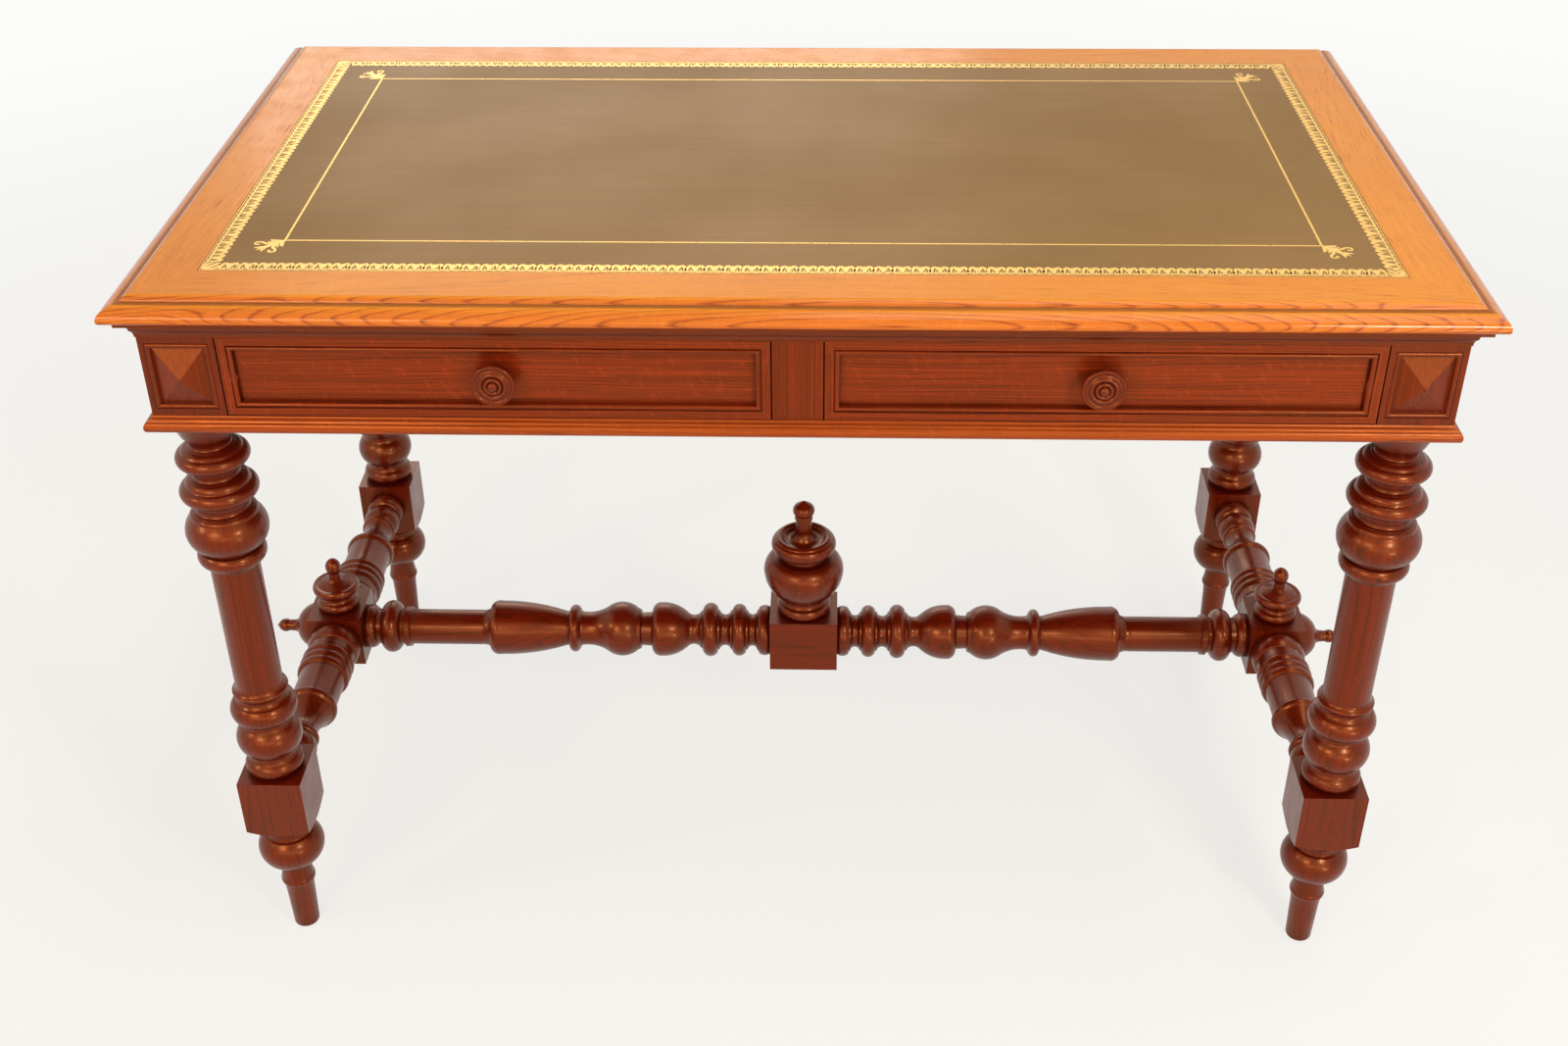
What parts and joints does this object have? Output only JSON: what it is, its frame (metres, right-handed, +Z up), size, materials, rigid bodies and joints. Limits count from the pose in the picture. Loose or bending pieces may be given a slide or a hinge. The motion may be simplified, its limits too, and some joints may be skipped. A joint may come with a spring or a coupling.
{
  "type": "library table",
  "caption": "Writing table with turned legs, an H stretcher with finials, a moulded top with inset leather, and frieze drawers with turned knobs.",
  "frame": {"origin": "on the floor, below the centre of the top", "axes": "+Z up, +X to the right along the table, front with the drawers facing -Y"},
  "size_m": [1.213, 0.6716, 0.76],
  "materials": {
    "golden_oak": "french polish, gloss",
    "moulding_oak": "french polish, gloss",
    "frieze_oak": "french polish, gloss",
    "turned_oak": "french polish, gloss",
    "plain_oak": "bare planed wood",
    "tooled_leather": "waxed hide with gilt tooling",
    "steel_screw": "plain"
  },
  "bodies": {
    "table": {"base_moulding_front": "moulding_oak", "base_moulding_left": "moulding_oak", "base_moulding_rear": "moulding_oak", "base_moulding_right": "moulding_oak", "bed_moulding_front": "moulding_oak", "bed_moulding_left": "moulding_oak", "bed_moulding_rear": "moulding_oak", "bed_moulding_right": "moulding_oak", "button_screws": "steel_screw", "centre_finial": "turned_oak", "centre_stile": "frieze_oak", "corner_panels_front_left": "frieze_oak", "corner_panels_front_right": "frieze_oak", "corner_panels_rear_left": "frieze_oak", "corner_panels_rear_right": "frieze_oak", "drawer_guides": "plain_oak", "drawer_kickers": "plain_oak", "drawer_runners": "plain_oak", "drawer_stops": "plain_oak", "front_bottom_rail": "frieze_oak", "front_top_rail": "frieze_oak", "left_end_cap": "turned_oak", "left_field_moulding": "frieze_oak", "left_finial": "turned_oak", "left_rail": "frieze_oak", "leg_front_left": "turned_oak", "leg_front_right": "turned_oak", "leg_rear_left": "turned_oak", "leg_rear_right": "turned_oak", "long_stretcher": "turned_oak", "rear_field_mouldings": "frieze_oak", "rear_rail": "frieze_oak", "right_end_cap": "turned_oak", "right_field_moulding": "frieze_oak", "right_finial": "turned_oak", "right_rail": "frieze_oak", "side_stretcher_left": "turned_oak", "side_stretcher_right": "turned_oak", "top_buttons": "plain_oak", "top_frame_front": "golden_oak", "top_frame_left": "golden_oak", "top_frame_rear": "golden_oak", "top_frame_right": "golden_oak", "top_panel": "plain_oak", "writing_leather": "tooled_leather"},
    "left_drawer": {"left_drawer_back": "plain_oak", "left_drawer_bottom": "plain_oak", "left_drawer_front": "frieze_oak", "left_drawer_front_moulding": "frieze_oak", "left_drawer_inner_side": "plain_oak", "left_drawer_knob": "frieze_oak", "left_drawer_outer_side": "plain_oak"},
    "right_drawer": {"right_drawer_back": "plain_oak", "right_drawer_bottom": "plain_oak", "right_drawer_front": "frieze_oak", "right_drawer_front_moulding": "frieze_oak", "right_drawer_inner_side": "plain_oak", "right_drawer_knob": "frieze_oak", "right_drawer_outer_side": "plain_oak"}
  },
  "joints": [
    {"name": "left_drawer_slide", "type": "slide", "parent": "table", "child": "left_drawer", "axis": [0, -1, 0], "range_m": [0, 0.38]},
    {"name": "right_drawer_slide", "type": "slide", "parent": "table", "child": "right_drawer", "axis": [0, -1, 0], "range_m": [0, 0.38]}
  ]
}
